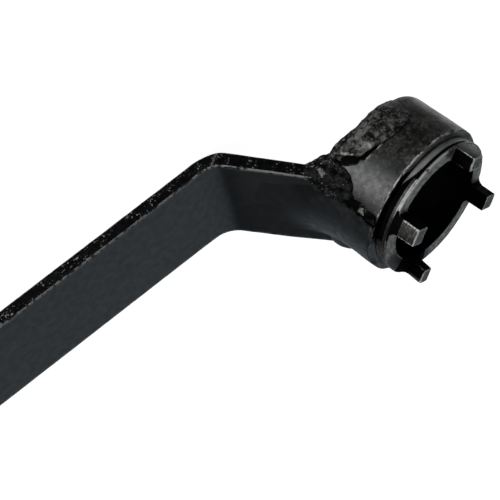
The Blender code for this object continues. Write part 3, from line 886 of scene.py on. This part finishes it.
def make_top_corner_weld():
    # millimetres: centre x, y, z and half sizes
    beads = (
        # along the bar's edge up to the collar
        (-25.0, 20.8, -30.2, 3.0, 2.4, 4.0), (-23.0, 21.0, -27.0, 3.8, 3.2, 5.0),
        (-21.5, 20.8, -23.5, 4.0, 3.6, 5.5), (-20.2, 20.6, -19.5, 3.6, 3.6, 5.0),
        (-19.7, 19.8, -17.0, 3.2, 3.4, 3.6),
        # behind the bar, into the corner with the rim
        (-24.8, 20.8, -33.6, 1.9, 1.9, 1.9), (-22.6, 20.8, -31.2, 2.6, 2.6, 2.6),
        (-20.4, 20.6, -30.2, 2.8, 2.8, 2.8), (-18.2, 20.9, -28.9, 3.2, 3.2, 3.2),
        (-15.9, 22.2, -27.0, 2.8, 2.8, 2.8),
        # raised ridge on the collar's wall
        (-17.4, 23.1, -26.0, 1.7, 1.7, 3.0), (-17.5, 23.0, -23.2, 1.7, 1.7, 3.0),
        (-17.7, 22.9, -20.5, 1.8, 1.8, 3.0), (-18.6, 22.2, -18.0, 2.1, 2.1, 2.6),
        # rounded toe towards the socket's mouth
        (-20.2, 20.8, -16.0, 2.4, 2.4, 2.4), (-22.0, 18.9, -14.8, 2.4, 2.4, 2.2),
        # lower side, over the bar's front face
        (-23.6, 17.2, -17.6, 2.8, 2.8, 3.0), (-24.4, 17.6, -21.5, 2.8, 2.8, 3.4),
        (-25.6, 19.0, -25.4, 2.4, 2.4, 3.0))
    balls = [(Vector(b[:3]) * 0.001, Vector(b[3:]) * 0.001, (0.0, 0.0, 1.0)) for b in beads]
    obj = lumps("top_corner_weld_detail", balls, 0.00033, 16)
    p = coords(obj)
    holes = step(noise(p, 0.0011, 11), 0.45, 0.8)
    move = 0.0001 * rough(p, 0.004, 3, 2) + 0.00006 * rough(p, 0.001, 2, 5)
    push(obj, p, move - 0.00012 * holes)
    torn = bell(p[:, 0], -0.0232, 0.002) * bell(p[:, 1], 0.024, 0.02)
    torn *= bell(p[:, 2], -0.0262, 0.0026)
    torn = step(torn + 0.65 * rough(p, 0.0011, 3, 8), 0.55, 0.9)
    paint(obj, torn=0.7 * torn, glaze=1.0)
    mark_wear(obj, 3, 0.12)
    piece(obj, "top_corner_weld", ROUGH_LOOK)
    cover(obj, torn < 0.5, SCALE_LOOK)


def make_bottom_corner_weld():
    balls = [((-0.0204, -0.0193, -0.0205), (0.0046, 0.0049, 0.0078), (0.3, 0.1, 0.74))]
    obj = lumps("bottom_corner_weld_detail", balls, 0.00035, 2)
    p = coords(obj)
    push(obj, p, 0.00018 * rough(p, 0.0042, 3, 2))
    paint(obj, pale=1.0)
    piece(obj, "bottom_corner_weld", SMOOTH_LOOK)


def rim_section(a):
    """The rim weld's closed section at this angle, as (radius, height) corners."""
    base, back, c = COLLAR_R, REAR_Z, COLLAR_REAR_ROUND
    # t counts along the bead and sets its ripples
    t = 24 * (a - 60) / 61
    fade = min(1.0, 0.15 + max(0.0, t) / 5)
    lump = fade * (0.0008 + 0.00012 * math.sin(1.7 * t) + 0.0001 * math.sin(0.8 * t + 1))
    fat = lump + fade * (0.0006 if a > 100 else 0.0002 if a > 82 else 0.0005)
    # the end stands off the wall, and the heel hangs behind the rim
    lift = 0.0007 * max(0.0, 1 - abs(a - 115) / 6)
    heel = 0.0017 * max(0.0, min(1.0, (a - 98) / 17))
    edge = float(np.interp(a, *zip(*RIM_EDGE))) + 0.00012 * math.sin(2.3 * t)
    edge = max(edge - (1 - fade) * 0.003, back + 0.0008)
    mid = (edge + back) / 2
    return [(base - 0.0006, edge - 0.0008)] + [
        (x - 0.0004, z + 0.0004) for x, z in arc(base - c, back + c, c, 0, -90, 4)] + [
        (base - 0.0043, back + 0.0004),
        (base - 0.0043, back - 0.35 * fat - 0.0001 - 0.6 * heel),
        (base - 0.0028 + 0.3 * heel, back - 0.6 * fat - heel),
        (base - 0.001 + 0.7 * heel, back + 0.0003 - 0.6 * fat - heel),
        (base + 0.7 * fat + 0.3 * heel, min(back + 0.0022 - 0.4 * heel, mid)),
        (base + fat, min(back + 0.0048, mid)), (base + lump, mid),
        (base + 1.1 * lump + lift, edge - 0.0016), (base + lump + lift, edge - 0.0003),
        (base + 0.5 * lump + lift, edge), (base - 0.0002, edge - 0.0004)]


def make_rim_weld():
    """A fat bead lapped over the collar's rear rim, its end lifted off the wall."""
    first, last, count = 58.0, 123.0, 190
    rows = []
    for i in range(count + 1):
        a = first + (last - first) * i / count
        ca, sa = math.cos(math.radians(a)), math.sin(math.radians(a))
        rows.append([(r * ca, r * sa, z) for r, z in resample(rim_section(a), pieces=4)])
    obj = loft("rear_rim_weld_detail", rows)
    voxel(obj, 0.0003)
    smoothed(obj, 4)
    p, n = coords(obj), normals(obj)
    move = 0.00012 * rough(p, 0.0038, 3, 2) + 0.0001 * rough(p, 0.0014, 3, 7)
    p = p + n * move[:, None]
    p[:, 1] = np.minimum(p[:, 1], COLLAR_R + 0.0005)
    set_coords(obj, p)
    flow, deep = unrolled(p), -p[:, 2]
    # a bright torn facet above the pit, a light run along the lip, black hollows between
    u, v = flow[:, 0] - math.radians(116.2) * COLLAR_R, p[:, 2] + 0.0222
    torn = bell(-0.49 * u + 0.87 * v, 0, 0.003) * bell(0.87 * u + 0.49 * v, 0, 0.001)
    torn = step(torn + 0.3 * rough(flow, 0.0012, 3, 6), 0.45, 0.75)
    run = bell(flow[:, 0], math.radians(99.0) * COLLAR_R, 0.0042) * bell(deep, 0.0162, 0.0018)
    patches = step(rough(flow, 0.0026, 4, 41), 0.05, 0.35) * (1 - step(deep, 0.023, 0.026))
    paint(obj, torn=np.maximum(torn, patches * (0.3 + 0.65 * run)))
    burnt = step(deep, 0.0225, 0.0262) * (1 - step(torn, 0.2, 0.5))
    paint(obj, burnt=np.maximum(burnt, step(rough(flow, 0.004, 3, 43), 0.15, 0.55)))
    mark_wear(obj, 4)
    piece(obj, "rear_rim_weld", ROUGH_LOOK)
    hollow = rough(flow, 0.0024, 4, 45) + 0.35 * burnt
    cover(obj, (hollow > 0.42) & (np.maximum(torn, run) < 0.4), SCALE_LOOK)


def make_face_fillet():
    first, last, count = 143.0, 218.0, 150
    top_z, reach_out, taper_over, flap = -0.0124, 0.0108, 14, 0.0008
    rows = []
    for i in range(count + 1):
        degrees = first + (last - first) * i / count
        a = math.radians(degrees)
        ca, sa = math.cos(a), math.sin(a)
        taper = min(1.0, (degrees - first + 0.5) / taper_over,
                    (last - degrees + 0.5) / taper_over)
        reach = min(COLLAR_R + reach_out * taper, (BAR_WIDTH / 2 - 0.001) / max(abs(sa), 1e-6))
        root, toe = front_face_z(COLLAR_R * ca), front_face_z(reach * ca) - 0.00025
        top = root + (top_z - root) * taper
        shape = [(COLLAR_R - flap, top), (COLLAR_R - flap, root - flap), (reach, toe - flap)]
        start, knee, stop = (np.array(q) for q in ((reach, toe), (COLLAR_R + 0.0002, root),
                                                    (COLLAR_R - 0.0002, top)))
        # the curve's ends are flat, so neither toe shows as a line
        pull = (start, (start + knee) / 2, knee, (knee + stop) / 2, stop)
        for t in np.linspace(0, 1, 22):
            share = [math.comb(4, k) * t**k * (1 - t) ** (4 - k) for k in range(5)]
            shape.append(tuple(sum(w * q for w, q in zip(share, pull))))
        rows.append([(r * ca, r * sa, z) for r, z in shape])
    obj = loft("face_fillet_weld_detail", rows)
    p = coords(obj)
    push(obj, p, 0.0001 * rough(p, 0.008, 3, 2))
    piece(obj, "face_fillet_weld", SMOOTH_LOOK)


def make_seam_weld():
    """A sheet over the collar's wall, with a bead down it that is sunk away elsewhere."""
    first, last, front, rear, skin = 137.5, 149.0, -0.0003, -0.0118, 0.0012
    rows, cols = 60, 90
    u, v = np.meshgrid(np.arange(rows + 1) / rows, np.arange(cols + 1) / cols, indexing="ij")
    a, z = np.radians(first + (last - first) * u), front + (rear - front) * v
    skirt = np.minimum.reduce((6 * u, 6 * (1 - u), 10 * v, 12 * (1 - v), np.ones_like(u)))
    r = COLLAR_R - 0.0004 + 0.0005 * skirt
    top = np.stack((r * np.cos(a), r * np.sin(a), z), axis=2)
    sunk = (COLLAR_R - skin) / COLLAR_R
    verts = np.concatenate((top.reshape(-1, 3), (top * (sunk, sunk, 1)).reshape(-1, 3)))
    w, half = cols + 1, (rows + 1) * (cols + 1)
    faces = []
    for i, j in product(range(rows), range(cols)):
        a, b, c, d = i * w + j, i * w + j + 1, (i + 1) * w + j + 1, (i + 1) * w + j
        faces += [(a, b, c, d), (a + half, d + half, c + half, b + half)]
    border = list(range(cols)) + [i * w + cols for i in range(rows)]
    border += [rows * w + j for j in range(cols, 0, -1)] + [i * w for i in range(rows, 0, -1)]
    faces += [(b, a, a + half, b + half) for a, b in zip(border, border[1:] + border[:1])]
    obj = build("collar_seam_weld_detail", verts, faces)
    outward(obj)
    p = coords(obj)
    flow, radius, a = unrolled(p), np.hypot(p[:, 0], p[:, 1]), around(p)
    # the bead wanders from the corner weld down to the collar's front edge
    middle = SEAM_ANGLE + p[:, 2] * SEAM_LEAN + 0.9 * noise(flow * (0, 0, 1), 0.004, 3)
    band = bell(a, middle, 5.6, 4)
    outside = step(radius, COLLAR_R - 0.0006, COLLAR_R - 0.0001)
    move = 0.0003 * band * (0.6 + rough(p, 0.0018, 3, 2)) - 0.0005 * (1 - band)
    push(obj, p, move * outside)
    light = bell(flow[:, 0], math.radians(143.3) * COLLAR_R, 0.0013)
    light = light * bell(p[:, 2], -0.0068, 0.0014) + 0.8 * rough(flow, 0.0011, 3, 7) - 0.15
    paint(obj, flow=flow, torn=0.2 * step(light, 0.4, 0.7), glaze=0.6)
    mark_wear(obj, 3, 0.1)
    piece(obj, "collar_seam_weld", ROUGH_LOOK)
    cover(obj, light < 0.5, SCALE_LOOK)
    cover(obj, (light < 0.5) & (rough(flow, 0.002, 3, 44) < 0.25), SHADE_AND_SOOT_LOOK)


def make_back_welds():
    """Two short rows of overlapping lumps behind the bar, above and below the bore."""
    count = 7
    rear_x = BEND_X + (REAR_Z - BEND_Z) / math.tan(CRANK_SLOPE) + BAR_THICK / math.sin(CRANK_SLOPE)
    for node, side, run in (("back_weld_top", 1, 0.005), ("back_weld_bottom", -1, 0.004)):
        balls = []
        for i in range(count):
            y = side * (0.0166 + run * i / (count - 1))
            size = 0.0028 + 0.0003 * math.sin(2.1 * i)
            balls.append(((rear_x + 0.001, y, REAR_Z - 0.001), (size, 0.0011, size),
                          (0.5, 0.0, 0.8)))
        obj = lumps(node + "_detail", balls, 0.0003, 1)
        p = coords(obj)
        push(obj, p, 0.00015 * rough(p, 0.002, 3, side + 3))
        mark_wear(obj, 4)
        piece(obj, node, ROUGH_LOOK)


for make in (make_bar, make_collar, make_claw_ring, make_seam_weld, make_rim_weld,
             make_top_corner_weld, make_face_fillet, make_bottom_corner_weld, make_back_welds):
    make()

# ---- floor, light and camera -----------------------------
FLOOR_Z = -0.0002
floor = build("floor", [(x, y, FLOOR_Z) for x, y in ((-6, -6), (6, -6), (6, 6), (-6, 6))],
              [(0, 1, 2, 3)])
pale = Look("pale_floor")
pale.shader.inputs["Emission Color"].default_value = (1, 1, 1, 1)
pale.shader.inputs["Emission Strength"].default_value = 0.95
floor.data.materials.append(pale.finish((0.85, 0.85, 0.85), 0.9))
# the black paint mirrors the softboxes and the dark room round them, not the white table
floor.visible_glossy = floor.visible_diffuse = floor.visible_shadow = False

# the camera sees a white room, and everything else a dim bluish one
scene = bpy.context.scene
scene.view_settings.view_transform = "Standard"
scene.world = scene.world or bpy.data.worlds.new("studio")
scene.world.use_nodes = True
room = scene.world.node_tree
dim, white = room.nodes["Background"], room.nodes.new("ShaderNodeBackground")
for background, colour, strength in ((dim, (0.85, 0.92, 1.0, 1), 0.05),
                                     (white, (1, 1, 1, 1), 1.0)):
    background.inputs["Color"].default_value = colour
    background.inputs["Strength"].default_value = strength
seen, choose = (room.nodes.new("ShaderNode" + kind) for kind in ("LightPath", "MixShader"))
for output, socket in ((seen.outputs["Is Camera Ray"], choose.inputs["Fac"]),
                       (dim.outputs["Background"], choose.inputs[1]),
                       (white.outputs["Background"], choose.inputs[2]),
                       (choose.outputs["Shader"], room.nodes["World Output"].inputs["Surface"])):
    room.links.new(output, socket)

SOCKET_CENTRE = Vector((0.15, 0.0, 0.045))


def softbox(name, direction, distance, width, height, brightness, colour=(1, 1, 1)):
    """A panel aimed at the socket, as bright as this against the white table's 1."""
    light = bpy.data.lights.new(name, "AREA")
    light.shape, light.size, light.size_y = "RECTANGLE", width, height
    light.energy, light.color = brightness * math.pi * width * height, colour
    obj = bpy.data.objects.new(name, light)
    away = Vector(direction).normalized()
    obj.location = SOCKET_CENTRE + away * distance
    obj.rotation_euler = (-away).to_track_quat("-Z", "Y").to_euler()
    obj.visible_camera = False
    scene.collection.objects.link(obj)


softbox("key_panel", (-0.664, 0.674, -0.324), 0.8, 0.52, 0.52, 4.5)
softbox("rim_panel", (0.64, -0.56, -0.53), 0.9, 1.0, 1.0, 0.8)
softbox("sky_panel", (0.03, -0.85, 0.53), 1.4, 1.8, 1.1, 0.42, (0.8, 0.93, 1.0))
softbox("low_panel", (-0.3, -0.84, -0.5), 1.3, 1.4, 0.9, 0.26, (0.84, 0.94, 1.0))
softbox("top_panel", (-0.1, 0.15, 1.0), 1.4, 1.4, 1.4, 0.4)

# the photograph's viewpoint, found from the socket's circles and the bar's edges
camera = bpy.data.objects.new("camera", bpy.data.cameras.new("camera"))
camera.location = (-0.05556, 0.63637, 0.37012)
camera.rotation_euler = [math.radians(a) for a in (-53.996, -38.512, -10.487)]
camera.data.sensor_width = 36.0
camera.data.lens = 146.68
camera.data.clip_start, camera.data.clip_end = 0.05, 20.0
scene.collection.objects.link(camera)
scene.camera = camera
